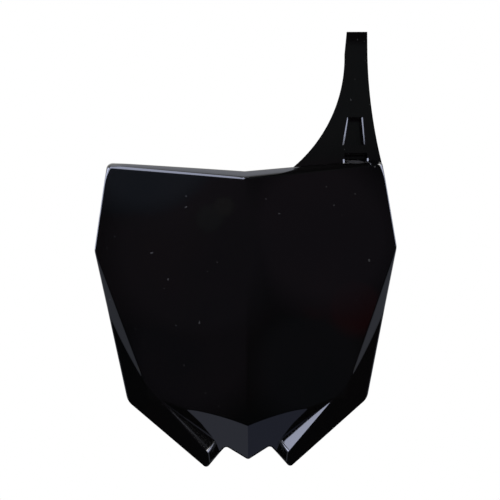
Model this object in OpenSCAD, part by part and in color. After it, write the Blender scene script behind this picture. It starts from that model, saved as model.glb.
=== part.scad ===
// Front number plate of an off-road motorcycle, moulded in one piece with its strap.
// The front faces -Y and +Z is up. Heights are measured from the seat of the lug, half
// widths from the middle, and depths run backwards from the foremost point of the face.

/* [Outline of the plate] */
// Width across the widest corners
plate_w = 242.4; // [225:1:255]
// Height of the widest corners
widest_z = 98.4; // [94:1:104]
// Width across the top corners
top_w = 221; // [212:1:228]
// Height of the top corners
top_corner_z = 169.2; // [164:1:174]
// Height of the shallow V in the top edge
top_vee_z = 160.4; // [156:1:165]
// Width across the lower side corners
lower_w = 191.6; // [180:1:198]
// Height of the lower side corners
lower_z = -22.6; // [-26:1:-18]
// Width across the tips of the two prongs
prong_w = 66.6; // [62:1:72]
// Height of the prong tips
prong_z = -76.6; // [-80:1:-72]
// Width across the two notches beside the chin
notch_w = 35.6; // [32:1:38]
// Height of the notches
notch_z = -59.4; // [-60:1:-57]
// Height of the chin's tip
chin_tip_z = -70.5; // [-73:1:-66]
// Corner radius at the widest and lower side corners
side_r = 13; // [6:0.5:16]
// Corner radius at the top corners
top_r = 5; // [3:0.5:7]
// Corner radius at the prong tips, the notches and the chin
tip_r = 3; // [2:0.5:4]

/* [Domed face] */
// Radius of the dome
dome_r = 700; // [600:10:900]
// How far each half's dome is centred past the middle, which makes the soft keel
keel_shift = 22; // [14:1:30]
// Height of the foremost point of the face
foremost_z = 50; // [40:1:60]
// Wall thickness
wall = 2.5; // [2:0.1:3.2]
// How far the rear rim of the flange lies behind the dome
rim_d = 18; // [16:0.5:22]

/* [Bevel along the top] */
// Height of the bevel's lower edge in the middle
bevel_mid_z = 155.2; // [152:0.5:157]
// Height of the bevel's lower edge at the top corners
bevel_end_z = 166.4; // [164:0.5:167]
// Slope of the bevel, back from upright
bevel_slope = 47; // [40:1:55]

/* [Step at each side] */
// Half width at the step's upper end, on the face
step_top_x = 118; // [116:0.5:119]
// Height of the step's upper end
step_top_z = 89.6; // [86:1:93]
// Half width where the step's foot meets the outline
step_foot_x = 109; // [107:0.5:110]
// Height where the step's foot meets the outline
step_foot_z = 45.2; // [42:1:48]
// Half width at the step's lower end, where it runs out
step_end_x = 83.4; // [81:0.5:85]
// Height of the step's lower end
step_end_z = -4.4; // [-7:1:-2]
// Slope of the step, back from upright
step_slope = 46; // [40:1:52]

/* [Cheeks and prongs] */
// Depth of the cheek at the lower side corner
cheek_corner_d = 15; // [13:0.5:17]
// Half width at the foot of a prong's ridge
ridge_x = 32.1; // [31:0.5:33]
// Height at the foot of a prong's ridge
ridge_z = -64.4; // [-66:0.5:-63]
// Depth at the foot of a prong's ridge
ridge_d = 8; // [6:0.5:9]
// Half width where the groove beside the ridge ends
groove_x = 28; // [27:0.5:29]
// Height where the groove beside the ridge ends
groove_z = -53.5; // [-54:0.5:-52]
// Slope of the end of a prong, back from upright
prong_end_slope = 50; // [44:1:66]

/* [Chin] */
// Height of the chin's upper point
chin_top_z = -43.5; // [-47:0.5:-41]
// Half width at the chin's outer ends
chin_end_x = 49.5; // [46:0.5:52]
// Height of the chin's outer ends
chin_end_z = -29.2; // [-32:0.5:-27]
// Half width at the chin's lower corners
chin_low_x = 27.3; // [26:0.5:28.5]
// Height of the chin's lower corners
chin_low_z = -51.9; // [-53:0.5:-51]
// Depth at the chin's lower corners
chin_low_d = 14; // [13:0.5:15.5]
// Half width where the flank of the chin starts at the face
flank_x = 69.2; // [67:0.5:71]
// Height where the flank of the chin starts at the face
flank_z = -22; // [-24:0.5:-20]

/* [Strap] */
// Length of the strap above the plate's top corner
strap_l = 104.5; // [80:1:120]
// Width of the strap's end
strap_w = 16.8; // [14:0.5:18]
// Distance of the strap's end from the middle of the plate
strap_x = 92.4; // [91:0.2:94]
// Thickness of the strap
strap_t = 3; // [2.4:0.1:3.6]
// Height of the strap's neck, where the flares start, above the top corner
neck_h = 85.7; // [70:1:92]
// Distance of the neck's inner edge from the middle of the plate
neck_in_x = 81.8; // [80:0.5:84]
// Distance of the neck's outer edge from the middle of the plate
neck_out_x = 100.6; // [99:0.5:102]
// Radius of the flare on the strap's inner edge
flare_in_r = 119; // [112:1:126]
// Radius of the flare on the strap's outer edge
flare_out_r = 405; // [340:5:440]
// How far the strap leans back
strap_lean = 9.5; // [0:0.5:14]
// How far the strap's face lies behind the plate's top edge
strap_setback = 1.5; // [0.5:0.5:3]
// Number of ridges across the rear of the strap
teeth = 8; // [4:1:10]
// Distance between the ridges
teeth_pitch = 6; // [5:0.5:7]
// Height of each ridge
teeth_h = 1; // [0.6:0.1:1.5]

/* [Buckle] */
// Distance of the buckle's slot from the middle of the plate
buckle_x = 89.6; // [88.5:0.1:90.5]
// Width of the slot
slot_w = 18.4; // [17.6:0.2:19]
// Height of the slot, up from the plate's top edge to the bridge
slot_h = 7.2; // [7:0.2:10]
// Height by which the slot's floor ramps up towards the rear
ramp_h = 4; // [2:0.5:5]
// Height of the bridge
bridge_h = 6.5; // [6:0.5:10]
// Thickness of the bridge
bridge_t = 3; // [2.4:0.1:3.4]
// Height of the window above the bridge
window_h = 23; // [16:0.5:24]
// Width of the window at the bridge
window_w = 16.4; // [15:0.2:17]
// How far the window's inner edge slants in towards its top
window_slant_in = 4.3; // [2:0.1:5]
// How far the window's outer edge slants in towards its top
window_slant_out = 1.3; // [0:0.1:2]
// Depth of the buckle's pockets
pocket_d = 8; // [7:0.5:9]
// Thickness of the pockets' walls and floors
pocket_t = 2; // [1.6:0.1:2.4]

/* [Lug and ribs at the back] */
// Distance of the bolt hole behind the foremost point of the face
lug_reach = 34; // [30:1:40]
// Diameter of the bolt hole
bolt_d = 6.5; // [6.2:0.1:7]
// Diameter of the collar round the bolt hole
collar_d = 18; // [15:0.5:22]
// Length of the collar
collar_h = 7; // [6:0.5:9]
// How far the collar's seat stands below the lug
seat_h = 1; // [0.6:0.2:2]
// Thickness of the lug
lug_t = 4; // [3:0.5:5]
// Width of the lug where it leaves the face
lug_w = 34; // [28:1:40]
// Height of the gussets above the lug
gusset_h = 22; // [14:1:28]
// Thickness of the gussets and ribs
rib_t = 2; // [1.6:0.2:2.6]
// Half distance between the two long ribs
rib_x = 46; // [40:1:52]
// Height of the long ribs' lower ends
rib_low_z = 5; // [0:1:20]
// Height of the long ribs' upper ends
rib_top_z = 130; // [110:1:140]
// How far the long ribs stand off the wall
rib_d = 5; // [3:0.5:7]

/* [Hidden] */
$fn = 160;
corner_steps = 6;
flare_steps = 14;
far = 900;
depth = 60;

plastic = [0.03, 0.03, 0.035];

// Centre of the dome that shapes the right half, and its distance behind the front
dome_y = sqrt(pow(dome_r, 2) - pow(keel_shift, 2));
dome_c = [-keel_shift, dome_y, foremost_z];

// Depth of a ball's front surface at half width x and height z
function ball_depth(c, r, x, z) = c[1] - sqrt(pow(r, 2) - pow(x - c[0], 2) - pow(z - c[2], 2));

// A point on the face, and a point at a given depth
function on_face(x, z) = [x, ball_depth(dome_c, dome_r, x, z), z];
function at_depth(x, d, z) = [x, d, z];

// The point at x and z on the plane through p that faces along n
function on_plane(p, n, x, z) = [x, p[1] - (n[0] * (x - p[0]) + n[2] * (z - p[2])) / n[1], z];

function unit(v) = v / norm(v);

// Direction out of the plane through three points, towards the front
function front_way(a, b, c) = let(n = unit(cross(b - a, c - a))) n[1] < 0 ? n : -n;

// A ball that meets the dome in the upright plane through a and b, and slopes back beyond
// it, so that the crease looks straight from the front. Given as [centre, radius].
function slope_ball(a, b, out, slope) =
    let(
        along = unit([b[0] - a[0], 0, b[2] - a[2]]),
        side = [-along[2], 0, along[0]],
        way = side * out > 0 ? side : -side,
        h = ([a[0], 0, a[2]] - [dome_c[0], 0, dome_c[2]]) * way,
        ring_r = sqrt(pow(dome_r, 2) - pow(h, 2)),
        back = ring_r * tan(slope)
    )
    [dome_c + way * (h - back), sqrt(pow(ring_r, 2) + pow(back, 2))];

bevel = slope_ball([0, 0, bevel_mid_z], [top_w / 2, 0, bevel_end_z], [0, 0, 1], bevel_slope);
step = slope_ball(
    [step_top_x, 0, step_top_z], [step_end_x, 0, step_end_z], [1, 0, 0], step_slope
);

// Named corners of the right half
step_top = on_face(step_top_x, step_top_z);
step_end = on_face(step_end_x, step_end_z);
step_foot = at_depth(
    step_foot_x, ball_depth(step[0], step[1], step_foot_x, step_foot_z), step_foot_z
);
cheek_corner = at_depth(lower_w / 2, cheek_corner_d, lower_z);
cheek_way = front_way(step_foot, step_end, cheek_corner);
ridge_foot = at_depth(ridge_x, ridge_d, ridge_z);
chin_top = on_face(0, chin_top_z);
chin_end = on_face(chin_end_x, chin_end_z);
chin_low = at_depth(chin_low_x, chin_low_d, chin_low_z);
flank_top = on_face(flank_x, flank_z);

// The groove ends on the chin's flank
flank_way = front_way(flank_top, chin_end, chin_low);
groove_end = on_plane(chin_low, flank_way, groove_x, groove_z);

// Ways that the faces of a prong look
prong_way = front_way(flank_top, ridge_foot, cheek_corner);
groove_way = front_way(flank_top, ridge_foot, groove_end);
prong_end_way = unit([-tan(prong_end_slope), -1, 0]);

// Outline corners of the right half from the chin's tip up, as [half width, height, radius]
right_corners = [
    [notch_w / 2, notch_z, tip_r],
    [prong_w / 2, prong_z, tip_r],
    [lower_w / 2, lower_z, side_r],
    [plate_w / 2, widest_z, side_r],
    [top_w / 2, top_corner_z, top_r]
];
outline_corners = concat(
    [[0, chin_tip_z, tip_r]],
    right_corners,
    [[0, top_vee_z, top_r]],
    [for (i = [len(right_corners) - 1:-1:0]) [
        -right_corners[i][0], right_corners[i][1], right_corners[i][2]
    ]]
);

// Height of the plate's top edge at half width x
function top_edge_z(x) = top_vee_z + (top_corner_z - top_vee_z) * x / (top_w / 2);

// A point on the plate's top edge, at the rear of the bevel
function top_edge(x) =
    let(z = top_edge_z(x))
    [x, ball_depth(bevel[0], bevel[1], x, z), z];

// Heights of the strap and its buckle
strap_top_z = top_corner_z + strap_l;
neck_z = top_corner_z + neck_h;
slot_low_z = top_edge_z(buckle_x);
slot_top_z = slot_low_z + slot_h;
window_low_z = slot_top_z + bridge_h;
window_top_z = window_low_z + window_h;

// Where the inner flare runs out on the top edge, and the outer flare into the corner
flare_in_a = asin((neck_z - top_vee_z) / flare_in_r);
flare_out_a = asin((neck_z - top_corner_z + wall) / flare_out_r);
root_in = top_edge(neck_in_x - flare_in_r * (1 - cos(flare_in_a)));
root_out = top_edge(top_w / 2);

// The strap's face turns with the plate's curve between the two, and leans back
strap_turn = atan2(
    root_out[1] - root_in[1] - (root_out[2] - root_in[2]) * tan(strap_lean),
    root_out[0] - root_in[0]
);
strap_way = [
    sin(strap_turn) * cos(strap_lean), -cos(strap_turn) * cos(strap_lean), sin(strap_lean)
];
strap_at = root_out + [0, strap_setback, 0];

// Points of the arc that rounds corner b between its neighbours a and c
function corner_arc(a, b, c, r) =
    let(
        to_a = unit(a - b),
        to_c = unit(c - b),
        half = acos(to_a * to_c) / 2,
        middle = b + unit(to_a + to_c) * r / sin(half),
        start = b + to_a * r / tan(half),
        turn = 180 - 2 * half,
        hand = to_a[0] * to_c[1] - to_a[1] * to_c[0] < 0 ? 1 : -1
    )
    [for (i = [0:corner_steps]) let(
        t = hand * turn * i / corner_steps,
        v = start - middle
    ) middle + [v[0] * cos(t) - v[1] * sin(t), v[0] * sin(t) + v[1] * cos(t)]];

function flat(p) = [p[0], p[1]];

function rounded(corners) = [
    for (i = [0:len(corners) - 1])
        let(
            n = len(corners),
            a = corners[(i + n - 1) % n],
            b = corners[i],
            c = corners[(i + 1) % n]
        )
        each corner_arc(flat(a), flat(b), flat(c), b[2])
];

// An outline drawn as seen from the front, extruded along the depth
module seen_from_front(from = -depth / 4, to = depth)
    translate([0, to, 0])
        rotate([90, 0, 0])
            linear_extrude(to - from)
                children();

// Everything behind the plane through point p that faces along n
module behind(p, n, inset = 0)
    translate(p)
        rotate([0, acos(n[2]), atan2(n[1], n[0])])
            translate([-far / 2, -far / 2, -far - inset])
                cube(far);

module behind_ball(ball, inset = 0)
    translate(ball[0])
        sphere(ball[1] - inset, $fn = 256);

module mirrored() {
    children();
    mirror([1, 0, 0])
        children();
}

// Block of the plate's outline moved in by inset
module outline_block(inset = 0)
    seen_from_front()
        if (inset > 0) {
            offset(delta = -inset)
                polygon(rounded(outline_corners));
        } else {
            polygon(rounded(outline_corners));
        }

// The block behind the two domes, the bevel, the steps and the chin. The bevel's two
// halves are joined, so that its lower edge is a V.
module face_block(inset = 0)
    intersection() {
        outline_block(inset);
        face_half(inset);
        mirror([1, 0, 0])
            face_half(inset);
        mirrored()
            behind_ball(bevel, inset);
    }

module face_half(inset)
    intersection() {
        behind_ball([dome_c, dome_r], inset);
        behind_ball(step, inset);
        behind(chin_low, front_way(chin_top, chin_end, chin_low), inset);
        behind(chin_low, flank_way, inset);
    }

// The block behind the cheek and prong of the right half
module cheek_block(inset = 0)
    difference() {
        intersection() {
            outline_block(inset);
            behind(step_end, cheek_way, inset);
            behind(ridge_foot, prong_way, inset);
            behind(ridge_foot, prong_end_way, inset);
        }
        difference() {
            inside_step();
            behind(ridge_foot, groove_way, inset);
        }
    }

// The middle of the plate, as far out as an upright plane that passes just inside the step
module inside_step() {
    near = 0.3;
    away = 8;
    along = unit([step_top_x - away - step_end_x + near, 0, step_top_z - step_end_z]);
    behind(step_end - [near, 0, 0], [along[2], 0, -along[0]]);
}

module front_block(inset = 0) {
    face_block(inset);
    mirrored()
        cheek_block(inset);
}

// The moulded shell: a wall of even thickness with a flange round the edge
module shell()
    difference() {
        front_block();
        front_block(wall);
        translate([0, rim_d, 0])
            intersection() {
                seen_from_front(to = 2 * depth)
                    square([2 * plate_w, 2 * plate_w], center = true);
                behind_ball([dome_c, dome_r]);
                mirror([1, 0, 0])
                    behind_ball([dome_c, dome_r]);
            }
    }

// Outline of the strap, from its end down to its root in the plate's top wall
module strap_outline()
    polygon(concat(
        [[strap_x + strap_w / 2, strap_top_z], [strap_x - strap_w / 2, strap_top_z]],
        [for (i = [0:flare_steps]) let(a = flare_in_a * i / flare_steps)
            [neck_in_x - flare_in_r * (1 - cos(a)), neck_z - flare_in_r * sin(a)]],
        [for (i = [flare_steps:-1:0]) let(a = flare_out_a * i / flare_steps)
            [neck_out_x + flare_out_r * (1 - cos(a)), neck_z - flare_out_r * sin(a)]]
    ));

// Places its children on the strap's face at the given distance and height
module on_strap(x, z)
    translate(on_plane(strap_at, strap_way, x, z))
        rotate([0, 0, strap_turn])
            rotate([-strap_lean, 0, 0])
                children();

// A profile of depth and height, extruded across the strap
module across(w, x = 0)
    translate([x - w / 2, 0, 0])
        rotate([90, 0, 90])
            linear_extrude(w)
                children();

module strap() {
    difference() {
        intersection() {
            seen_from_front()
                strap_outline();
            behind(strap_at, strap_way);
        }
        behind(strap_at, strap_way, strap_t);
    }
    on_strap(strap_x, strap_top_z)
        for (i = [1:teeth])
            translate([0, strap_t, -i * teeth_pitch])
                strap_tooth();
}

// Ridge across the strap's rear: steep below and sloped above
module strap_tooth()
    across(strap_w - 4)
        polygon([[-0.5, 0], [teeth_h, 0], [0, teeth_pitch * 0.6], [-0.5, teeth_pitch * 0.6]]);

// Height of the bridge's top edge above the slot's lower edge
function knee() = slot_h + bridge_h;

// Outline of the window, with the slot's middle at 0: its inner edge lines up with the slot's
module window_outline() {
    left = -slot_w / 2;
    right = left + window_w;
    polygon([
        [left, knee()],
        [right, knee()],
        [right - window_slant_out, knee() + window_h],
        [left + window_slant_in, knee() + window_h]
    ]);
}

// Outline of the whole buckle, from the plate's top wall to above the window
module buckle_outline() {
    half = slot_w / 2 + pocket_t;
    top = knee() + window_h + pocket_t;
    polygon([
        [-half, -wall],
        [half, -wall],
        [half, knee()],
        [half - window_slant_out, top],
        [-half + window_slant_in, top],
        [-half, knee()]
    ]);
}

// The housing behind the strap's root that takes the strap's end
module buckle_block()
    on_strap(buckle_x, slot_low_z)
        seen_from_front(strap_t / 2, pocket_d + pocket_t)
            buckle_outline();

// What is hollow in the housing: the window and the slot, both with a floor, joined by a
// passage behind the bridge that opens to the rear
module buckle_hollows() {
    run = 5;
    lip = 0.5;
    rear = pocket_d + pocket_t + run;
    on_strap(buckle_x, slot_low_z) {
        seen_from_front(-run, pocket_d)
            window_outline();
        across(slot_w)
            polygon([
                [-run, 0],
                [0, 0],
                [pocket_d, ramp_h],
                [pocket_d, slot_h + lip],
                [rear, slot_h + lip],
                [rear, knee() - lip],
                [pocket_d, knee() - lip],
                [pocket_d, knee() + lip],
                [bridge_t, knee() + lip],
                [bridge_t, slot_h],
                [-run, slot_h]
            ]);
    }
}

// Depth of the middle of the face's wall
function mid_wall(x, z) = on_face(x, z)[1] + wall / 2;

// The bolted lug on the rear of the face, with its collar's seat at height 0
module lug() {
    root = mid_wall(0, seat_h);
    difference() {
        union() {
            translate([0, 0, seat_h])
                linear_extrude(lug_t)
                    polygon([
                        [-lug_w / 2, root],
                        [lug_w / 2, root],
                        [collar_d / 2, lug_reach],
                        [-collar_d / 2, lug_reach]
                    ]);
            translate([0, lug_reach, 0])
                cylinder(h = collar_h, d = collar_d);
        }
        translate([0, lug_reach, -1])
            cylinder(h = collar_h + 2, d = bolt_d);
    }
    mirrored()
        gusset();
}

module gusset() {
    x = lug_w / 2 - 2 * rib_t;
    low = seat_h + lug_t;
    top = low + gusset_h;
    across(rib_t, x)
        polygon([
            [mid_wall(x, 0), low - lug_t / 2],
            [lug_reach - collar_d / 2, low - lug_t / 2],
            [lug_reach - collar_d / 2, low],
            [mid_wall(x, top), top]
        ]);
}

// One long rib on the rear of the face, with sloped ends
module long_rib() {
    slope = 4 * rib_d;
    difference() {
        intersection() {
            across(rib_t, rib_x)
                polygon([
                    [0, rib_low_z],
                    [slope, rib_low_z + slope],
                    [slope, rib_top_z - slope],
                    [0, rib_top_z]
                ]);
            behind_ball([dome_c, dome_r], wall / 2);
        }
        behind_ball([dome_c, dome_r], wall + rib_d);
    }
}

module number_plate()
    color(plastic)
        translate([0, -lug_reach, 0]) {
            difference() {
                union() {
                    shell();
                    strap();
                    buckle_block();
                }
                buckle_hollows();
            }
            lug();
            mirrored()
                long_rib();
        }

number_plate();
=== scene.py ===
"""Looks of a racing number board: gloss-black plastic in a plain white studio."""
import math

import bmesh
import bpy
import numpy as np
from mathutils import Matrix, Vector
from mathutils.geometry import delaunay_2d_cdt


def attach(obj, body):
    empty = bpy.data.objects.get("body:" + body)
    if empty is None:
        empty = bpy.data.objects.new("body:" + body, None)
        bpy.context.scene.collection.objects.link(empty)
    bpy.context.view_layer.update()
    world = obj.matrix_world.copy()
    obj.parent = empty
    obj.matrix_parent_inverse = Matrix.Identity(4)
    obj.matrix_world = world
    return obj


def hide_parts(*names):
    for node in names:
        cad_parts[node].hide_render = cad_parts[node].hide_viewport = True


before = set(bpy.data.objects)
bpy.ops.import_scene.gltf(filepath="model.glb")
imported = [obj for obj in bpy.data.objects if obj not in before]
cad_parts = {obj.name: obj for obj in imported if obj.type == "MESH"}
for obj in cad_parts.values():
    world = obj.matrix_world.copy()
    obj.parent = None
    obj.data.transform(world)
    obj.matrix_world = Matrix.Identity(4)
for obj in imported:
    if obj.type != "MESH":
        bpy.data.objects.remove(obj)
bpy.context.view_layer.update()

# Sizes in millimetres and slopes in degrees

# Heights are measured from the lower seat of the lug's collar, x from the middle, and depths run
# backwards from the foremost part of the face.
MM = 0.001  # in metres

# Outline of the plate, seen from the front
PLATE_W, WIDEST_Z = 242.4, 98.4
TOP_W, TOP_CORNER_Z, TOP_VEE_Z = 221, 169.2, 160.4
LOWER_W, LOWER_Z = 191.6, -22.6
PRONG_W, PRONG_Z = 66.6, -76.6
NOTCH_W, NOTCH_Z, CHIN_TIP_Z = 35.6, -59.4, -70.5
SIDE_R, TOP_R, TIP_R = 13, 5, 3

# Face, and the shell behind it
DOME_R, KEEL_SHIFT, FOREMOST_Z = 700, 22, 50
WALL, RIM_D, LUG_REACH = 2.5, 18, 34
BEVEL_MID_Z, BEVEL_END_Z, BEVEL_SLOPE = 155.2, 166.4, 47
STEP_TOP, STEP_FOOT, STEP_END, STEP_SLOPE = (118, 89.6), (109, 45.2), (83.4, -4.4), 46
INNER_LEAN, INNER_GAP = 8, 0.3  # the upright plane inside the step, where the groove's face stops
CHEEK_CORNER_D, PRONG_END_SLOPE = 15, 50
RIDGE, RIDGE_D, GROOVE = (32.1, -64.4), 8, (28, -53.5)
TROUGH_D, TROUGH_L = 0.3, 56  # hollow of the groove's face, at this distance from its upper point
CHIN_TOP_Z, CHIN_END, CHIN_LOW, CHIN_LOW_D = -43.5, (49.5, -29.2), (27.3, -51.9), 14
FLANK = (69.2, -22)

# Strap, buckle and the slot's ramp, which runs out over the bevel
STRAP_L, STRAP_W, STRAP_X, STRAP_T, STRAP_LEAN, STRAP_SETBACK = 104.5, 16.8, 92.4, 3, 9.5, 1.5
NECK_H, NECK_IN_X, NECK_OUT_X, FLARE_IN_R, FLARE_OUT_R = 85.7, 81.8, 100.6, 119, 405
TEETH, TEETH_PITCH, TEETH_H, TOOTH_SHARE, TEETH_INSET = 8, 6, 1, 0.6, 2
BUCKLE_X, SLOT_W, SLOT_H, RAMP_H, BRIDGE_H, BRIDGE_T = 89.6, 18.4, 7.2, 4, 6.5, 3
WINDOW_H, WINDOW_W, WINDOW_SLANT_IN, WINDOW_SLANT_OUT = 23, 16.4, 4.3, 1.3
POCKET_D, POCKET_T = 8, 2
LIP_H, PASSAGE_GAP = 2.2, 0.5  # of the passage behind the bridge: its lip, and its step at the window
RAMP_KNEE = (1.9, 1.6)  # depth and height at which the ramp gets flatter
RAMP_LOW_X, RAMP_LOW_Z = 60, 150  # the ramp cuts the plate only past these

# Ways that the ramp and its two sides face on the strap, and where the sides stand by the slot's ends
RAMP_WAY, RAMP_LEFT_WAY, RAMP_RIGHT_WAY = (0, -0.64, 0.77), (1.0, -1.4, 0), (-1, -0.3, 0)
RAMP_LEFT_IN, RAMP_LEFT_D, RAMP_RIGHT_OUT = 1.3, 1.1, 0.3

# How far each corner opens outwards, from the lower left on anticlockwise, and the width that the
# left and the right side lose for each millimetre of depth
WINDOW_OPENING, WINDOW_LEANS = (1.4, 0.6, 1.0, 0.8), (1.4, 1.2)
SLOT_OPENING, SLOT_LEANS = (1.4, 1.0, 1.0, 1.4), (1.4, 1.0)
SLOT_END_LOW, SLOT_LEFT_TOP, SLOT_RIGHT_TOP = -1, 2.2, 3.0  # heights between which the slot's ends open
OPENING_D = 1  # the openings are cut this far before and behind the strap's face

# Lug and ribs
BOLT_D, COLLAR_D, COLLAR_H, SEAT_H, LUG_T, LUG_W, GUSSET_H = 6.5, 18, 7, 1, 4, 34, 22
RIB_T, RIB_X, RIB_LOW_Z, RIB_TOP_Z, RIB_D = 2, 46, 5, 130, 5

# Depth of the blend that rounds each fold
KEEL_BLEND, BEVEL_BLEND, BEVEL_KEEL_BLEND = 0.08, 2.0, 0.3
CHIN_BLEND, CHIN_KEEL_BLEND, STEP_BLEND, FLANK_BLEND = 0.25, 0.1, 0.7, 0.25
CHEEK_BLEND, RIDGE_BLEND, PRONG_END_BLEND, PRONG_FOOT_BLEND = 0.3, 0.5, 2.1, 0.5
RAMP_BLEND, RAMP_SIDES_BLEND = 0.3, 0.2

# Radii of the rounded edges
EDGE_R, CORNER_EDGE_R = 1.1, 5.0  # the plate's outer edge, and the same at its top corners
CORNER_INSET, CORNER_REACH = 3, 8  # where the top corner's rounding is widest, and its reach
RIM_R, STRAP_EDGE_R, RIB_EDGE_R = 0.6, 0.5, 0.4

# Fineness of the meshes, whose cells are halved while the surface bends by more degrees than this
OUTLINE_STEP, ARC_STEPS = 1.5, 12
FRONT_CELL, FRONT_FINEST, FRONT_BEND, FRONT_MARGIN = 3.0, 0.375, 2.5, 0.2
INNER_CELL, INNER_FINEST, INNER_BEND, INNER_MARGIN = 6.0, 0.75, 5, 0.6
FLARE_STEPS, CIRCLE_STEPS, RIB_STEPS = 40, 64, 160
EDGE_ANGLE, EDGE_STEPS = 32, 3
PAST = 5  # how far a cutter reaches past a surface
BATCH = 4000  # points measured at a time


def unit(v):
    return np.asarray(v, float) / np.linalg.norm(v)


def tan(degrees):
    return math.tan(math.radians(degrees))


# The depth of each surface
class Ball:
    """Everything behind the front of a ball."""

    def __init__(self, centre, radius):
        self.centre, self.radius = centre, radius

    def depth(self, x, z, inset=0.0):
        cx, cy, cz = self.centre
        return cy - np.sqrt(np.maximum((self.radius - inset) ** 2 - (x - cx) ** 2 - (z - cz) ** 2, 1.0))


class Plane:
    """Everything behind the plane through a point that looks a way."""

    def __init__(self, point, way):
        self.point, self.way = point, way

    def depth(self, x, z, inset=0.0):
        (px, py, pz), (nx, ny, nz) = self.point, self.way
        return py - (nx * (x - px) + nz * (z - pz) + inset) / ny


dome = Ball((-KEEL_SHIFT, math.sqrt(DOME_R**2 - KEEL_SHIFT**2), FOREMOST_Z), DOME_R)


def on_face(corner):
    return np.array([corner[0], float(dome.depth(*corner)), corner[1]])


def at_depth(corner, depth):
    return np.array([corner[0], depth, corner[1]])


def slope_ball(a, b, out, slope):
    """The ball that meets the dome over the line from a to b and slopes back beyond it."""
    along = unit((b[0] - a[0], b[1] - a[1]))
    way = np.array([-along[1], along[0]])
    way = way if way @ out > 0 else -way
    cx, cy, cz = dome.centre
    h = (np.array(a, float) - (cx, cz)) @ way
    ring = math.sqrt(DOME_R**2 - h**2)
    back = ring * tan(slope)
    return Ball((cx + way[0] * (h - back), cy, cz + way[1] * (h - back)), math.hypot(ring, back))


def front_way(a, b, c):
    """The way that the plane through three points looks at the front."""
    n = unit(np.cross(b - a, c - a))
    return n if n[1] < 0 else -n


bevel = slope_ball((0, BEVEL_MID_Z), (TOP_W / 2, BEVEL_END_Z), (0, 1), BEVEL_SLOPE)
step = slope_ball(STEP_TOP, STEP_END, (1, 0), STEP_SLOPE)
step_end = on_face(STEP_END)
step_foot = at_depth(STEP_FOOT, float(step.depth(*STEP_FOOT)))
cheek_corner = at_depth((LOWER_W / 2, LOWER_Z), CHEEK_CORNER_D)
ridge_foot = at_depth(RIDGE, RIDGE_D)
chin_end, flank_top = on_face(CHIN_END), on_face(FLANK)
chin_low = at_depth(CHIN_LOW, CHIN_LOW_D)
chin = Plane(chin_low, front_way(on_face((0, CHIN_TOP_Z)), chin_end, chin_low))
flank = Plane(chin_low, front_way(flank_top, chin_end, chin_low))
groove_end = at_depth(GROOVE, float(flank.depth(*GROOVE)))
cheek = Plane(step_end, front_way(step_foot, step_end, cheek_corner))
prong = Plane(ridge_foot, front_way(flank_top, ridge_foot, cheek_corner))
groove = Plane(ridge_foot, front_way(flank_top, ridge_foot, groove_end))
prong_end = Plane(ridge_foot, unit((-tan(PRONG_END_SLOPE), -1, 0)))


def top_edge_z(x):
    return TOP_VEE_Z + (TOP_CORNER_Z - TOP_VEE_Z) * x / (TOP_W / 2)


def top_edge(x):
    z = top_edge_z(x)
    return np.array([x, float(bevel.depth(x, z)), z])


# The strap's front plane stands on the bevel's top edge, and the ramp's planes start at the buckle
neck_z = TOP_CORNER_Z + NECK_H
tip_z = TOP_CORNER_Z + STRAP_L
flare_in = math.asin((neck_z - TOP_VEE_Z) / FLARE_IN_R)
flare_out = math.asin((neck_z - TOP_CORNER_Z + WALL) / FLARE_OUT_R)
root_in = top_edge(NECK_IN_X - FLARE_IN_R * (1 - math.cos(flare_in)))
root_out = top_edge(TOP_W / 2)
rise = root_out - root_in
strap_turn = math.atan2(rise[1] - rise[2] * tan(STRAP_LEAN), rise[0])
tilt = Matrix.Rotation(strap_turn, 4, "Z") @ Matrix.Rotation(-math.radians(STRAP_LEAN), 4, "X")


def tilted(*way):
    return unit(tilt @ Vector(way))


strap_face = Plane(root_out + (0, STRAP_SETBACK, 0), tilted(0, -1, 0))


def on_strap(x, z):
    return Matrix.Translation((x, float(strap_face.depth(x, z)), z)) @ tilt


buckle_place = on_strap(BUCKLE_X, top_edge_z(BUCKLE_X))


def at_buckle(x, y):
    return np.array(buckle_place @ Vector((x, y, 0)))


ramp = Plane(np.array(buckle_place.translation), tilted(*RAMP_WAY))
ramp_left = Plane(at_buckle(RAMP_LEFT_IN - SLOT_W / 2, RAMP_LEFT_D), tilted(*RAMP_LEFT_WAY))
ramp_right = Plane(at_buckle(SLOT_W / 2 + RAMP_RIGHT_OUT, 0), tilted(*RAMP_RIGHT_WAY))


def deeper(a, b, k):
    """The deeper of two surfaces, with their edge rounded over a depth k."""
    h = np.clip(0.5 + 0.5 * (a - b) / k, 0, 1)
    return b + (a - b) * h + k * h * (1 - h)


def nearer(a, b, k):
    return -deeper(-a, -b, k)


def inside_step(x, z):
    """Whether a point is on the middle's side of an upright plane just inside the step."""
    along = unit((STEP_TOP[0] - INNER_LEAN - STEP_END[0] + INNER_GAP, STEP_TOP[1] - STEP_END[1]))
    return (x - STEP_END[0] + INNER_GAP) * along[1] - (z - STEP_END[1]) * along[0] < 0


def trough(x, z):
    """How far the groove's middle lies behind its flat plane."""
    away = np.hypot(FLANK[0] - x, FLANK[1] - z)
    angle = np.arctan2(FLANK[1] - z, FLANK[0] - x)
    first = math.atan2(FLANK[1] - GROOVE[1], FLANK[0] - GROOVE[0])
    last = math.atan2(FLANK[1] - RIDGE[1], FLANK[0] - RIDGE[0])
    s = np.clip((angle - first) / (last - first), -0.5, 1.5)
    return TROUGH_D * 4 * s * (1 - s) * away / TROUGH_L


def domed(x, z, inset=0.0):
    return deeper(dome.depth(x, z, inset), dome.depth(-x, z, inset), KEEL_BLEND)


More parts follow.
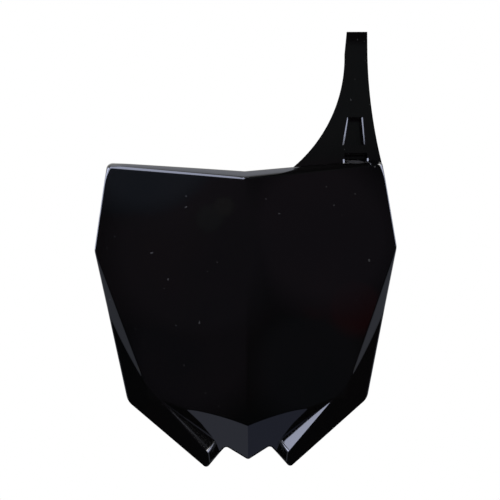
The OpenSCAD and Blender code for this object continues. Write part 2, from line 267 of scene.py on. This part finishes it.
def plate_depth(x, z, inset=0.0):
    """Depth of the plate's front, or of its inner side where inset is the wall."""
    bevels = nearer(bevel.depth(x, z, inset), bevel.depth(-x, z, inset), BEVEL_KEEL_BLEND)
    y = deeper(domed(x, z, inset), bevels, BEVEL_BLEND)
    chins = deeper(chin.depth(x, z, inset), chin.depth(-x, z, inset), CHIN_KEEL_BLEND)
    y = deeper(y, chins, CHIN_BLEND)
    for side in (x, -x):
        y = deeper(y, step.depth(side, z, inset), STEP_BLEND)
        y = deeper(y, flank.depth(side, z, inset), FLANK_BLEND)
    for side in (x, -x):
        outer = deeper(cheek.depth(side, z, inset), prong.depth(side, z, inset), CHEEK_BLEND)
        ridge = deeper(outer, groove.depth(side, z, inset) + trough(side, z), RIDGE_BLEND)
        outer = np.where(inside_step(side, z), ridge, outer)
        outer = deeper(outer, prong_end.depth(side, z, inset), PRONG_END_BLEND)
        y = nearer(y, outer, PRONG_FOOT_BLEND)
    if inset == 0:
        sides = nearer(ramp_left.depth(x, z), ramp_right.depth(x, z), RAMP_SIDES_BLEND)
        cut = nearer(sides, ramp.depth(x, z), RAMP_BLEND)
        y = np.where((z > RAMP_LOW_Z) & (x > RAMP_LOW_X), deeper(y, cut, RAMP_BLEND), y)
    return y


# The outline
def corner_arc(a, b, c, r):
    """Points and outward ways of the arc that rounds corner b between a and c."""
    to_a, to_c = unit(a - b), unit(c - b)
    half = math.acos(float(to_a @ to_c)) / 2
    middle = b + unit(to_a + to_c) * r / math.sin(half)
    start = b + to_a * r / math.tan(half) - middle
    bend = math.pi - 2 * half
    hand = 1 if to_a[0] * to_c[1] - to_a[1] * to_c[0] < 0 else -1
    points = []
    for i in range(ARC_STEPS + 1):
        t = hand * bend * i / ARC_STEPS
        x = start[0] * math.cos(t) - start[1] * math.sin(t)
        z = start[0] * math.sin(t) + start[1] * math.cos(t)
        v = np.array([x, z])
        points.append((middle + v, v / r * hand))
    return points


def fill_to(points, ways, end, spacing):
    """Adds points on the straight edge from the last point to the next arc."""
    start, way = points[-1], ways[-1]
    count = max(1, round(float(np.linalg.norm(end[0] - start)) / spacing))
    for i in range(1, count):
        points.append(start + (end[0] - start) * i / count)
        ways.append(unit(way + end[1]))


def outline(spacing):
    """Points round the plate's outline as seen from the front, and the ways out of it."""
    right = [
        (NOTCH_W / 2, NOTCH_Z, TIP_R),
        (PRONG_W / 2, PRONG_Z, TIP_R),
        (LOWER_W / 2, LOWER_Z, SIDE_R),
        (PLATE_W / 2, WIDEST_Z, SIDE_R),
        (TOP_W / 2, TOP_CORNER_Z, TOP_R),
    ]
    corners = [(0, CHIN_TIP_Z, TIP_R), *right, (0, TOP_VEE_Z, TOP_R)]
    corners += [(-x, z, r) for x, z, r in reversed(right)]
    points, ways = [], []
    for i, (x, z, r) in enumerate(corners):
        before, after = corners[i - 1], corners[(i + 1) % len(corners)]
        a, b, c = (np.array(p, float) for p in (before[:2], (x, z), after[:2]))
        arc = corner_arc(a, b, c, r)
        if points:
            fill_to(points, ways, arc[0], spacing)
        points += [p for p, _ in arc]
        ways += [w for _, w in arc]
    fill_to(points, ways, (points[0], ways[0]), spacing)
    return np.array(points), np.array(ways)


# Meshes as arrays, in millimetres
class Shape:
    """Points, faces and a way for each face corner, gathered from several pieces."""

    def __init__(self):
        self.points, self.faces, self.ways, self.count = [], [], [], 0

    def add_points(self, points):
        first = self.count
        self.points.append(np.asarray(points, float))
        self.count += len(points)
        return first

    def add_faces(self, faces, ways):
        """Faces as rows of point numbers, with ways of the same form and one more axis."""
        self.faces += [list(map(int, f)) for f in faces]
        self.ways.append(np.asarray(ways, float).reshape(-1, 3))

    def to_object(self, name):
        """A mesh object in metres, with its origin at the bolt hole."""
        mesh = bpy.data.meshes.new(name)
        points = np.concatenate(self.points) - (0, LUG_REACH, 0)
        mesh.from_pydata((points * MM).tolist(), [], self.faces)
        ways = np.concatenate(self.ways)
        ways /= np.linalg.norm(ways, axis=1)[:, None]
        mesh.polygons.foreach_set("use_smooth", np.ones(len(mesh.polygons), bool))
        mesh.normals_split_custom_set(ways.tolist())
        made = bpy.data.objects.new(name, mesh)
        bpy.context.scene.collection.objects.link(made)
        return made


def surface_ways(depth, x, z, step_size=0.02):
    """Ways out of a depth surface towards the front."""
    dx = (depth(x + step_size, z) - depth(x - step_size, z)) / (2 * step_size)
    dz = (depth(x, z + step_size) - depth(x, z - step_size)) / (2 * step_size)
    ways = np.stack([dx, -np.ones_like(dx), dz], axis=1)
    return ways / np.linalg.norm(ways, axis=1)[:, None]


def edge_distance(x, z, loop):
    """How far inside a closed loop each point lies, and 0 or less outside."""
    a, b = loop, np.roll(loop, -1, axis=0)
    ab = b - a
    square = (ab**2).sum(1)
    nearest = np.empty(len(x))
    for first in range(0, len(x), BATCH):
        batch = slice(first, first + BATCH)
        p = np.stack([x[batch], z[batch]], axis=1)[:, None]
        t = np.clip(((p - a) * ab).sum(2) / square, 0, 1)
        gap = np.linalg.norm(p - a - t[:, :, None] * ab, axis=2)
        crosses = (a[:, 1] > p[:, :, 1]) != (b[:, 1] > p[:, :, 1])
        with np.errstate(divide="ignore", invalid="ignore"):
            cut = a[:, 0] + (p[:, :, 1] - a[:, 1]) * ab[:, 0] / ab[:, 1]
        inside = (crosses & (p[:, :, 0] < cut)).sum(1) % 2 == 1
        nearest[batch] = np.where(inside, gap.min(1), -gap.min(1))
    return nearest


def spread_points(depth, loop, cell, finest, bend):
    """Points about a loop, closer where the surface bends, and how far inside it they are."""
    low, high = loop.min(0), loop.max(0)
    xs = np.arange(-math.ceil(-low[0] / cell), high[0] / cell)
    zs = np.arange(math.floor(low[1] / cell), high[1] / cell)
    cells = np.stack(np.meshgrid(xs, zs, indexing="ij"), axis=-1).reshape(-1, 2) * cell
    kept = []
    size = cell
    while len(cells):
        offsets = [(0.5, 0.5), (0, 0), (1, 0), (0, 1), (1, 1)]
        ways = [surface_ways(depth, cells[:, 0] + u * size, cells[:, 1] + v * size) for u, v in offsets]
        bends = np.max([1 - (w * ways[0]).sum(1) for w in ways[1:]], axis=0)
        split = (bends > 1 - math.cos(math.radians(bend))) & (size > finest * 1.5)
        kept += [cells[~split], cells[~split] + size / 2]
        cells = cells[split]
        size /= 2
        if len(cells):
            cells = np.concatenate([cells + (u * size, v * size) for u in (0, 1) for v in (0, 1)])
    points = np.unique(np.concatenate(kept).round(4), axis=0)
    return points, edge_distance(points[:, 0], points[:, 1], loop)


def skin(ring, ring_first, inner, front):
    """Triangles over a ring of points already in a shape and the inner points, numbered on from it."""
    flat = np.concatenate([ring, inner])
    inside_only, same_point = 1, 1e-6
    made = delaunay_2d_cdt([Vector(p) for p in flat], [], [list(range(len(ring)))], inside_only, same_point)
    faces, sources = np.array(made[2]), np.array([source[0] for source in made[3]])
    faces = sources[faces] + ring_first
    return faces if front else faces[:, ::-1]


def add_strip(shape, a, b, ways_a, ways_b):
    """Adds four-sided faces between two rings of points, the second behind the first."""
    i = np.arange(len(ways_a))
    j = (i + 1) % len(ways_a)
    faces = np.stack([a + i, b + i, b + j, a + j], axis=1)
    ways = np.stack([ways_a[i], ways_b[i], ways_b[j], ways_a[j]], axis=1)
    shape.add_faces(faces, ways)


def with_depth(flat, depth):
    return np.stack([flat[:, 0], depth, flat[:, 1]], axis=1)


def edge_radius(flat):
    """Rounding of the outer edge at each point, wider at the top corners."""
    away = np.hypot(np.abs(flat[:, 0]) - TOP_W / 2 + CORNER_INSET, flat[:, 1] - TOP_CORNER_Z + CORNER_INSET)
    return EDGE_R + (CORNER_EDGE_R - EDGE_R) * np.exp(-((away / CORNER_REACH) ** 2))


# The plate
def add_front(shape, ring, out, out3):
    """Adds the front, rolled over at the outline, and returns its first point's number."""
    rings, depths, ways = [], [], []
    radius = edge_radius(ring)
    for roll in np.radians([0, 22.5, 45, 67.5, 90]):
        flat = ring - out * radius[:, None] * (1 - math.cos(roll))
        rings.append(flat)
        depths.append(plate_depth(flat[:, 0], flat[:, 1]) + radius * (1 - math.sin(roll)))
        front_ways = surface_ways(plate_depth, flat[:, 0], flat[:, 1])
        ways.append(front_ways * math.sin(roll) + out3 * math.cos(roll))
    spots, inside = spread_points(plate_depth, ring, FRONT_CELL, FRONT_FINEST, FRONT_BEND)
    spots = spots[inside > edge_radius(spots) + FRONT_MARGIN]
    depths.append(plate_depth(spots[:, 0], spots[:, 1]))
    ways.append(surface_ways(plate_depth, spots[:, 0], spots[:, 1]))
    inner = np.concatenate([*rings[1:], spots])
    first = shape.add_points(with_depth(np.concatenate([ring, inner]), np.concatenate(depths)))
    faces = skin(ring, first, inner, front=True)
    shape.add_faces(faces, np.concatenate(ways)[faces - first])
    return first


def add_flange(shape, ring, out, out3, first):
    """Adds the flange out to its rounded rear rim and back in, and returns its last row and ways."""
    rim_depth = domed(ring[:, 0], ring[:, 1]) + RIM_D
    back = np.tile((0.0, 1.0, 0.0), (len(ring), 1))
    last, last_ways = first, out3
    turns = [(math.cos(t), math.sin(t)) for t in np.radians([0, 45, 90])]
    rows = [(RIM_R * (1 - c), RIM_R * (1 - s), out3 * c + back * s) for c, s in turns]
    rows += [(WALL - RIM_R * (1 - c), RIM_R * (1 - s), back * s - out3 * c) for c, s in reversed(turns)]
    for inset, up, ways in rows:
        new = shape.add_points(with_depth(ring - out * inset, rim_depth - up))
        add_strip(shape, last, new, last_ways, ways)
        last, last_ways = new, ways
    return last, last_ways


def inner_depth(x, z):
    return plate_depth(x, z, WALL)


def add_inner_side(shape, ring, last, last_ways):
    spots, inside = spread_points(inner_depth, ring, INNER_CELL, INNER_FINEST, INNER_BEND)
    spots = spots[inside > INNER_MARGIN]
    flat = np.concatenate([ring, spots])
    first = shape.add_points(with_depth(flat, inner_depth(flat[:, 0], flat[:, 1])))
    add_strip(shape, last, first, last_ways, last_ways)
    faces = skin(ring, first, spots, front=False)
    ways = -surface_ways(inner_depth, flat[:, 0], flat[:, 1])
    shape.add_faces(faces, ways[faces - first])


def plate(shape):
    """The panel with its bevel, steps, cheeks, prongs and chin, its flange and its inner side."""
    ring, out = outline(OUTLINE_STEP)
    out3 = with_depth(out, np.zeros(len(ring)))
    first = add_front(shape, ring, out, out3)
    last, last_ways = add_flange(shape, ring, out, out3, first)
    add_inner_side(shape, ring - out * WALL, last, last_ways)


# Solids that are joined and cut
def solid(near, far):
    """An object between two outlines of the same number of points."""
    n = len(near)
    points = [tuple(map(float, p)) for p in (*near, *far)]
    sides = [(i, (i + 1) % n, n + (i + 1) % n, n + i) for i in range(n)]
    mesh = bpy.data.meshes.new("solid")
    mesh.from_pydata(points, [], [tuple(range(n)), tuple(range(2 * n - 1, n - 1, -1)), *sides])
    made = bmesh.new()
    made.from_mesh(mesh)
    bmesh.ops.recalc_face_normals(made, faces=made.faces)
    made.to_mesh(mesh)
    made.free()
    body = bpy.data.objects.new("solid", mesh)
    bpy.context.scene.collection.objects.link(body)
    return body


def placed(place, points):
    return [place @ Vector(p) for p in points]


def through(place, flat, near, far):
    """A solid of an outline seen from the front, between two depths."""
    return solid(*(placed(place, [(u, depth, v) for u, v in flat]) for depth in (near, far)))


def across(place, profile, width):
    """A solid of a profile of depth and height, extruded sideways."""
    return solid(*(placed(place, [(x, y, z) for y, z in profile]) for x in (-width / 2, width / 2)))


def splay(place, flat, widths, leans):
    """A cutter that opens an outline's left and right sides outwards by a width at each corner."""
    middle = sum(u for u, _ in flat) / len(flat)
    left_lean, right_lean = leans

    def ring(y):
        points = []
        for (u, v), width in zip(flat, widths):
            points.append((u - width + left_lean * y if u < middle else u + width - right_lean * y, y, v))
        return placed(place, points)

    return solid(ring(-OPENING_D), ring(OPENING_D))


def evaluated_mesh(body):
    return bpy.data.meshes.new_from_object(body.evaluated_get(bpy.context.evaluated_depsgraph_get()))


def join(body, operation, *others):
    """Unites a body with others, or cuts them out of it."""
    for other in others:
        cut = body.modifiers.new("cut", "BOOLEAN")
        cut.operation, cut.object, cut.solver = operation, other, "EXACT"
    mesh = evaluated_mesh(body)
    body.modifiers.clear()
    body.data = mesh
    for other in others:
        bpy.data.objects.remove(other)


def gather(shape, body, radius):
    """Rounds a solid's edges and adds it to the shape."""
    edges = body.modifiers.new("edges", "BEVEL")
    edges.limit_method, edges.angle_limit = "ANGLE", math.radians(EDGE_ANGLE)
    edges.width, edges.segments, edges.harden_normals = radius, EDGE_STEPS, True
    for polygon in body.data.polygons:
        polygon.use_smooth = True
    mesh = evaluated_mesh(body)
    first = shape.add_points([v.co for v in mesh.vertices])
    for polygon in mesh.polygons:
        ways = [mesh.corner_normals[i].vector for i in polygon.loop_indices]
        shape.add_faces([[first + v for v in polygon.vertices]], ways)
    bpy.data.objects.remove(body)


# The strap and its buckle
def strap_blade():
    """The strap up to its tip, flared on both sides down to the plate's top edge."""

    def flare(x, out, r, angle):
        bends = [angle * i / FLARE_STEPS for i in range(FLARE_STEPS + 1)]
        return [(x + out * r * (1 - math.cos(t)), neck_z - r * math.sin(t)) for t in bends]

    flat = [(STRAP_X + STRAP_W / 2, tip_z), (STRAP_X - STRAP_W / 2, tip_z)]
    flat += flare(NECK_IN_X, -1, FLARE_IN_R, flare_in)
    flat += reversed(flare(NECK_OUT_X, 1, FLARE_OUT_R, flare_out))
    near = [(x, float(strap_face.depth(x, z)), z) for x, z in flat]
    far = [(x, float(strap_face.depth(x, z, STRAP_T)), z) for x, z in flat]
    return solid(near, far)


def add_buckle(strap):
    """Adds the buckle's rear housing, and cuts its window, slot and rear passage."""
    left, half, knee = -SLOT_W / 2, SLOT_W / 2 + POCKET_T, SLOT_H + BRIDGE_H
    top = knee + WINDOW_H
    window = [
        (left, knee),
        (left + WINDOW_W, knee),
        (left + WINDOW_W - WINDOW_SLANT_OUT, top),
        (left + WINDOW_SLANT_IN, top),
    ]
    ends = [(left, SLOT_END_LOW), (-left, SLOT_END_LOW), (-left, SLOT_RIGHT_TOP), (left, SLOT_LEFT_TOP)]
    housing = [
        (-half, -WALL),
        (half, -WALL),
        (half, knee),
        (half - WINDOW_SLANT_OUT, top + POCKET_T),
        (WINDOW_SLANT_IN - half, top + POCKET_T),
        (-half, knee),
    ]
    behind = POCKET_D + POCKET_T
    slot = [
        (-PAST, 0),
        (0, 0),
        RAMP_KNEE,
        (POCKET_D, RAMP_H),
        (POCKET_D, SLOT_H + LIP_H),
        (behind + PAST, SLOT_H + LIP_H),
        (behind + PAST, knee - PASSAGE_GAP),
        (POCKET_D, knee - PASSAGE_GAP),
        (POCKET_D, knee + PASSAGE_GAP),
        (BRIDGE_T, knee + PASSAGE_GAP),
        (BRIDGE_T, SLOT_H),
        (-PAST, SLOT_H),
    ]
    at = buckle_place
    join(strap, "UNION", through(at, housing, STRAP_T / 2, behind))
    join(strap, "DIFFERENCE", through(at, window, -PAST, POCKET_D), across(at, slot, SLOT_W))
    join(strap, "DIFFERENCE", splay(at, window, WINDOW_OPENING, WINDOW_LEANS))
    join(strap, "DIFFERENCE", splay(at, ends, SLOT_OPENING, SLOT_LEANS))


def add_teeth(strap):
    """Adds the ratchet teeth on the strap's rear, from the tip down."""
    tip = on_strap(STRAP_X, tip_z)
    length, sunk = TEETH_PITCH * TOOTH_SHARE, 0.5
    tooth = [(-sunk, 0), (TEETH_H, 0), (0, length), (-sunk, length)]
    for i in range(1, TEETH + 1):
        at = tip @ Matrix.Translation((0, STRAP_T, -i * TEETH_PITCH))
        join(strap, "UNION", across(at, tooth, STRAP_W - 2 * TEETH_INSET))


def strap_and_buckle(shape):
    strap = strap_blade()
    add_buckle(strap)
    add_teeth(strap)
    gather(shape, strap, STRAP_EDGE_R)


# The lug and the ribs
def mid_wall(x, z):
    return float(dome.depth(x, z)) + WALL / 2


def circle(d, z):
    """A circle round the bolt hole's axis."""
    angles = [2 * math.pi * i / CIRCLE_STEPS for i in range(CIRCLE_STEPS)]
    return [(d / 2 * math.cos(a), LUG_REACH + d / 2 * math.sin(a), z) for a in angles]


def bolt_lug(shape):
    root = mid_wall(0, SEAT_H)
    edge = [(-LUG_W / 2, root), (LUG_W / 2, root), (COLLAR_D / 2, LUG_REACH), (-COLLAR_D / 2, LUG_REACH)]
    lug = solid([(x, y, SEAT_H) for x, y in edge], [(x, y, SEAT_H + LUG_T) for x, y in edge])
    join(lug, "UNION", solid(circle(COLLAR_D, 0), circle(COLLAR_D, COLLAR_H)))
    beyond = 1
    join(lug, "DIFFERENCE", solid(circle(BOLT_D, -beyond), circle(BOLT_D, COLLAR_H + beyond)))
    gather(shape, lug, RIB_EDGE_R)


def gusset(shape, side):
    """A web that braces the lug's top against the wall."""
    x = LUG_W / 2 - 2 * RIB_T
    low, reach = SEAT_H + LUG_T, LUG_REACH - COLLAR_D / 2
    profile = [
        (mid_wall(x, 0), low - LUG_T / 2),
        (reach, low - LUG_T / 2),
        (reach, low),
        (mid_wall(x, low + GUSSET_H), low + GUSSET_H),
    ]
    gather(shape, across(Matrix.Translation((side * x, 0, 0)), profile, RIB_T), RIB_EDGE_R)


def long_rib(shape, side):
    """An upright rib on the inner side, whose ends run out at 45 degrees."""
    heights = np.linspace(RIB_LOW_Z, RIB_TOP_Z, RIB_STEPS)
    wall = dome.depth(RIB_X, heights)
    inner = wall + WALL / 2
    crest = np.minimum(wall + WALL + RIB_D, np.minimum(heights - RIB_LOW_Z, RIB_TOP_Z - heights))
    kept = crest > inner
    profile = [*zip(inner[kept], heights[kept]), *reversed(list(zip(crest[kept], heights[kept])))]
    gather(shape, across(Matrix.Translation((side * RIB_X, 0, 0)), profile, RIB_T), RIB_EDGE_R)


shape = Shape()
plate(shape)
strap_and_buckle(shape)
bolt_lug(shape)
for side in (-1, 1):
    gusset(shape, side)
    long_rib(shape, side)
piece = shape.to_object("plate")
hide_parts("number_plate")
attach(piece, "root")

# Camera, in metres and radians, almost straight in front
PIVOT = Vector((0, -0.020, 0.100))
YAW, PITCH, ROLL = -0.0085, -0.02, -0.0115
DISTANCE = 2.5
FAR_CLIP = 50
SENSOR = 36  # millimetres
IMAGE = 500  # pixels across the image
PX_PER_M = 1249.7  # at the pivot
PIVOT_PX = (245.7, 246.6)


def rotation(angle, axis):
    return Matrix.Rotation(angle, 3, axis)


to_view = rotation(ROLL, "Y") @ rotation(PITCH, "X") @ rotation(-YAW, "Z")
right, ahead, up = (to_view.transposed() @ Vector(v) for v in ((1, 0, 0), (0, 1, 0), (0, 0, 1)))
lens = bpy.data.cameras.new("camera")
lens.sensor_width = SENSOR
lens.lens = SENSOR * PX_PER_M * DISTANCE / IMAGE
lens.clip_end = FAR_CLIP
camera = bpy.data.objects.new("camera", lens)
aside = right * (IMAGE / 2 - PIVOT_PX[0]) / PX_PER_M - up * (IMAGE / 2 - PIVOT_PX[1]) / PX_PER_M
eye = PIVOT - ahead * DISTANCE + aside
camera.matrix_world = Matrix.Translation(eye) @ Matrix((right, up, -ahead)).transposed().to_4x4()
bpy.context.scene.collection.objects.link(camera)
bpy.context.scene.camera = camera
bpy.context.scene.view_settings.view_transform = "Standard"


# Node trees
class Nodes:
    """Short calls for building a node tree."""

    def __init__(self, tree):
        self.tree = tree
        tree.nodes.clear()

    def add(self, kind, **values):
        node = self.tree.nodes.new("ShaderNode" + kind)
        for name, value in values.items():
            setattr(node, name, value)
        return node

    def wire(self, start, end):
        self.tree.links.new(start, end)

    def fill(self, socket, value):
        """Sets a socket to a number or a colour, or wires it."""
        if isinstance(value, tuple):
            socket.default_value = (*value, 1)
        elif isinstance(value, (int, float)):
            socket.default_value = value
        else:
            self.wire(value, socket)

    def maths(self, operation, *values):
        node = self.add("Math", operation=operation)
        for socket, value in zip(node.inputs, values):
            self.fill(socket, value)
        return node.outputs[0]

    def noise(self, place, scale, detail):
        node = self.add("TexNoise")
        node.inputs["Scale"].default_value = scale
        node.inputs["Detail"].default_value = detail
        self.wire(place, node.inputs["Vector"])
        return node.outputs[0]

    def ramp(self, value, stops):
        node = self.add("ValToRGB")
        for element, (at, colour) in zip(node.color_ramp.elements, stops):
            element.position, element.color = at, (*colour, 1)
        self.wire(value, node.inputs[0])
        return node.outputs[0]

    def mix(self, share, first, second, blend="MIX"):
        node = self.add("MixRGB", blend_type=blend)
        for socket, value in zip(node.inputs, (share, first, second)):
            self.fill(socket, value)
        return node.outputs[0]

    def near(self, place, centre, reach):
        """1 about a centre, falling softly to 0 at the reach along each axis."""
        steepness, softness = 2.5, 0.1
        away = self.add("VectorMath", operation="SUBTRACT")
        self.wire(place, away.inputs[0])
        away.inputs[1].default_value = centre
        part = self.add("VectorMath", operation="DIVIDE")
        self.wire(away.outputs[0], part.inputs[0])
        part.inputs[1].default_value = reach
        length = self.add("VectorMath", operation="LENGTH")
        self.wire(part.outputs[0], length.inputs[0])
        fall = self.maths("SUBTRACT", 1.0, length.outputs["Value"])
        fall = self.maths("MAXIMUM", self.maths("MULTIPLY", fall, steepness), 0.0)
        return self.maths("SMOOTH_MIN", fall, 1.0, softness)

    def shine(self, colour, level=1.0):
        """Makes light the output of the tree."""
        glow = self.add("Emission")
        self.fill(glow.inputs["Color"], colour)
        glow.inputs["Strength"].default_value = level
        self.wire(glow.outputs[0], self.add("OutputMaterial").inputs[0])


def new_material(name):
    material = bpy.data.materials.new(name)
    material.use_nodes = True
    return material, Nodes(material.node_tree)


# Gloss-black plastic
def gloss_plastic():
    """Black plastic with a faint mould texture, a few dust specks and a lighter, rougher patch on the
    slot's ramp.
    """
    material, nodes = new_material("gloss_black_plastic")
    place = nodes.add("TexCoord").outputs["Object"]
    shader = nodes.add("BsdfPrincipled")
    shader.inputs["IOR"].default_value = 1.5

    broad = nodes.noise(place, scale=14, detail=3)
    specks = nodes.noise(place, scale=330, detail=0)
    dust = nodes.ramp(specks, [(0.86, (0, 0, 0)), (0.89, (1, 1, 1))])
    # A lighter, rougher patch of the base colour on the slot's ramp
    ramp_patch = nodes.near(place, centre=(0.0895, -0.0115, 0.1675), reach=(0.0095, 0.006, 0.0024))

    tint = nodes.ramp(broad, [(0.38, (0.0012, 0.0014, 0.0016)), (0.62, (0.0020, 0.0017, 0.0019))])
    ramp_patch_colour, dust_colour = (0.0035, 0.0035, 0.004), (0.02, 0.02, 0.02)
    colour = nodes.mix(dust, nodes.mix(ramp_patch, tint, ramp_patch_colour), dust_colour)
    nodes.wire(colour, shader.inputs["Base Color"])

    smooth, uneven, dull = 0.03, 0.04, 0.35
    rough = nodes.maths("MULTIPLY_ADD", broad, uneven, smooth)
    rough = nodes.maths("MULTIPLY_ADD", nodes.maths("MAXIMUM", ramp_patch, dust), dull, rough)
    nodes.wire(rough, shader.inputs["Roughness"])

    bump = nodes.add("Bump")
    bump.inputs["Strength"].default_value = 0.015
    bump.inputs["Distance"].default_value = 0.0003
    nodes.wire(nodes.noise(place, scale=420, detail=2), bump.inputs["Height"])
    nodes.wire(bump.outputs[0], shader.inputs["Normal"])
    nodes.wire(shader.outputs[0], nodes.add("OutputMaterial").inputs[0])
    return material


piece.data.materials.append(gloss_plastic())

# Studio, in metres
WHITE = (1, 1, 1)
LILAC = (0.94, 1.0, 1.3)
COOL = (0.9, 0.96, 1.16)
SKY_LEVEL = 0.9  # on matt surfaces; the background itself shows as 1
PART_MIDDLE = (0, 0, 0.1)
FLAG_Y, FLAG_COLOUR = -0.40, (0.012, 0.012, 0.014)
FLOOR_Z, FLOOR_R, FLOOR_SIDES, FLOOR_COLOUR = -0.25, 1.2, 96, (0.62, 0.62, 0.62)
LOW_Z, FLANK_LOW_Z = -0.245, -0.2445  # heights of the cards just above the floor

# Faint pools of a room's light on the black cards in front: x, z, radius and colour
POOLS = [
    (-0.20, 0.36, 0.17, (0.115, 0.135, 0.185)),
    (-0.10, 0.17, 0.24, (0.085, 0.07, 0.09)),
    (0.17, 0.19, 0.19, (0.095, 0.075, 0.10)),
    (0.225, 0.055, 0.07, (0.11, 0.012, 0.02)),
    (0.155, 0.075, 0.06, (0.075, 0.035, 0.045)),
    (-0.085, 0.215, 0.036, (0.105, 0.105, 0.115)),
    (-0.06, 0.235, 0.026, (0.125, 0.12, 0.125)),
    (-0.12, -0.02, 0.15, (0.06, 0.052, 0.068)),
    (0.14, -0.05, 0.13, (0.04, 0.045, 0.055)),
    (0.15, 0.48, 0.21, (0.085, 0.095, 0.10)),
    (0.68, 0.72, 0.14, (0.42, 0.43, 0.52)),
]


def white_sky():
    """A white world that lights matt surfaces a little less than it shows itself."""
    world = bpy.data.worlds.new("studio")
    bpy.context.scene.world = world
    world.use_nodes = True
    nodes = Nodes(world.node_tree)
    path = nodes.add("LightPath")
    seen = nodes.maths("MAXIMUM", path.outputs["Is Camera Ray"], path.outputs["Is Glossy Ray"])
    seen = nodes.maths("MAXIMUM", seen, path.outputs["Is Transmission Ray"])
    sky = nodes.add("Background")
    nodes.wire(nodes.maths("MULTIPLY_ADD", seen, 1 - SKY_LEVEL, SKY_LEVEL), sky.inputs["Strength"])
    sky.inputs["Color"].default_value = (*WHITE, 1)
    nodes.wire(sky.outputs[0], nodes.add("OutputWorld").inputs[0])


def glow(name, level, colour):
    """A material of even light."""
    material, nodes = new_material(name)
    nodes.shine(colour, level)
    return material


def pooled_glow(name):
    """A material of black with the soft pools of faint light."""
    material, nodes = new_material(name)
    place = nodes.add("NewGeometry").outputs["Position"]
    total = FLAG_COLOUR
    for x, z, radius, colour in POOLS:
        share = nodes.near(place, (x, FLAG_Y, z), (radius, radius, radius))
        total = nodes.mix(1.0, total, nodes.mix(share, FLAG_COLOUR, colour), blend="LIGHTEN")
    nodes.shine(total)
    return material


def card(material, centre, size, facing=PART_MIDDLE):
    """A flat card that faces a point and shows only in reflections."""
    w, h = size[0] / 2, size[1] / 2
    mesh = bpy.data.meshes.new(material.name)
    mesh.from_pydata([(-w, -h, 0), (w, -h, 0), (w, h, 0), (-w, h, 0)], [], [(0, 1, 2, 3)])
    mesh.materials.append(material)
    made = bpy.data.objects.new(material.name, mesh)
    way = (Vector(facing) - Vector(centre)).normalized()
    made.matrix_world = Matrix.Translation(centre) @ way.to_track_quat("Z", "Y").to_matrix().to_4x4()
    made.visible_camera = False
    made.visible_diffuse = False
    made.visible_shadow = False
    bpy.context.scene.collection.objects.link(made)
    return made


def flag(name, low, high):
    """A black card in front of the part, between two corners in x and z."""
    x, z = (low[0] + high[0]) / 2, (low[1] + high[1]) / 2
    card(pooled_glow(name), (x, FLAG_Y, z), (high[0] - low[0], high[1] - low[1]), facing=(x, 0, z))


def low_card(name, low, high, height, level, colour=WHITE):
    """A card that lies flat just above the floor, between two corners in x and y."""
    centre = ((low[0] + high[0]) / 2, (low[1] + high[1]) / 2, height)
    lying = card(glow(name, level, colour), centre, (high[0] - low[0], high[1] - low[1]))
    lying.matrix_world = Matrix.Translation(centre)


def pale_floor():
    angles = [2 * math.pi * i / FLOOR_SIDES for i in range(FLOOR_SIDES)]
    mesh = bpy.data.meshes.new("floor")
    rim = [(FLOOR_R * math.cos(a), FLOOR_R * math.sin(a), FLOOR_Z) for a in angles]
    mesh.from_pydata(rim, [], [tuple(range(FLOOR_SIDES))])
    floor = bpy.data.objects.new("floor", mesh)
    material, nodes = new_material("pale_floor")
    paint = nodes.add("BsdfDiffuse")
    paint.inputs["Color"].default_value = (*FLOOR_COLOUR, 1)
    nodes.wire(paint.outputs[0], nodes.add("OutputMaterial").inputs[0])
    mesh.materials.append(material)
    bpy.context.scene.collection.objects.link(floor)


white_sky()

# Dark cards in front, open at the upper left, and beside the part, for the steps
flag("flag_left", (-0.75, -0.25), (0.0, 0.40))
flag("flag_right", (0.0, -0.25), (0.95, 0.85))
for name, side, level in (("side_flag_left", -1, 0.42), ("side_flag_right", 1, 0.47)):
    card(glow(name, level, COOL), (0.75 * side, 0.05, -0.05), (1.1, 0.4), facing=(0, 0.05, -0.05))

# Cards that the chin and the flanks look down on, with corners, height and level of light
low_card("low_card_left", (-0.14, -0.40), (0.0, -0.10), LOW_Z, 0.60, (0.88, 0.94, 1.22))
low_card("low_card_right", (0.0, -0.40), (0.14, -0.10), LOW_Z, 0.34, (0.84, 0.93, 1.42))
low_card("low_card_back", (-0.7, -0.10), (0.7, 0.4), LOW_Z, 0.01)
low_card("flank_card_left", (-0.7, -0.187), (-0.118, -0.10), FLANK_LOW_Z, 0.01)
low_card("flank_card_right", (0.118, -0.187), (0.7, -0.10), FLANK_LOW_Z, 0.01)
low_card("outer_card_left", (-0.7, -0.40), (-0.14, -0.187), LOW_Z, 0.03)
low_card("outer_card_right", (0.14, -0.40), (0.7, -0.187), LOW_Z, 0.03)

# Lights, and a dark card that keeps the ceiling out of the bevel's right half, with centres and sizes
card(glow("softbox", 6.8, LILAC), (-0.59, -0.76, 0.97), (1.4, 1.2))
card(glow("ceiling", 2.3, (0.95, 0.98, 1.1)), (-0.35, 0.25, 2.2), (1.5, 1.6), facing=(-0.35, 0.25, 0))
card(glow("ceiling_gap", 0.02, WHITE), (0.145, -0.125, 0.45), (0.2, 0.65), facing=(0.145, -0.125, 0))
card(glow("corner_light", 12.0, WHITE), (1.25, -0.3, 1.15), (1.0, 1.0))
card(glow("side_light_left", 10.0, LILAC), (-1.9, 0.05, 0.7), (1.2, 0.8))
card(glow("side_light_right", 7.0, LILAC), (1.9, 0.05, 0.8), (1.2, 1.0))

pale_floor()
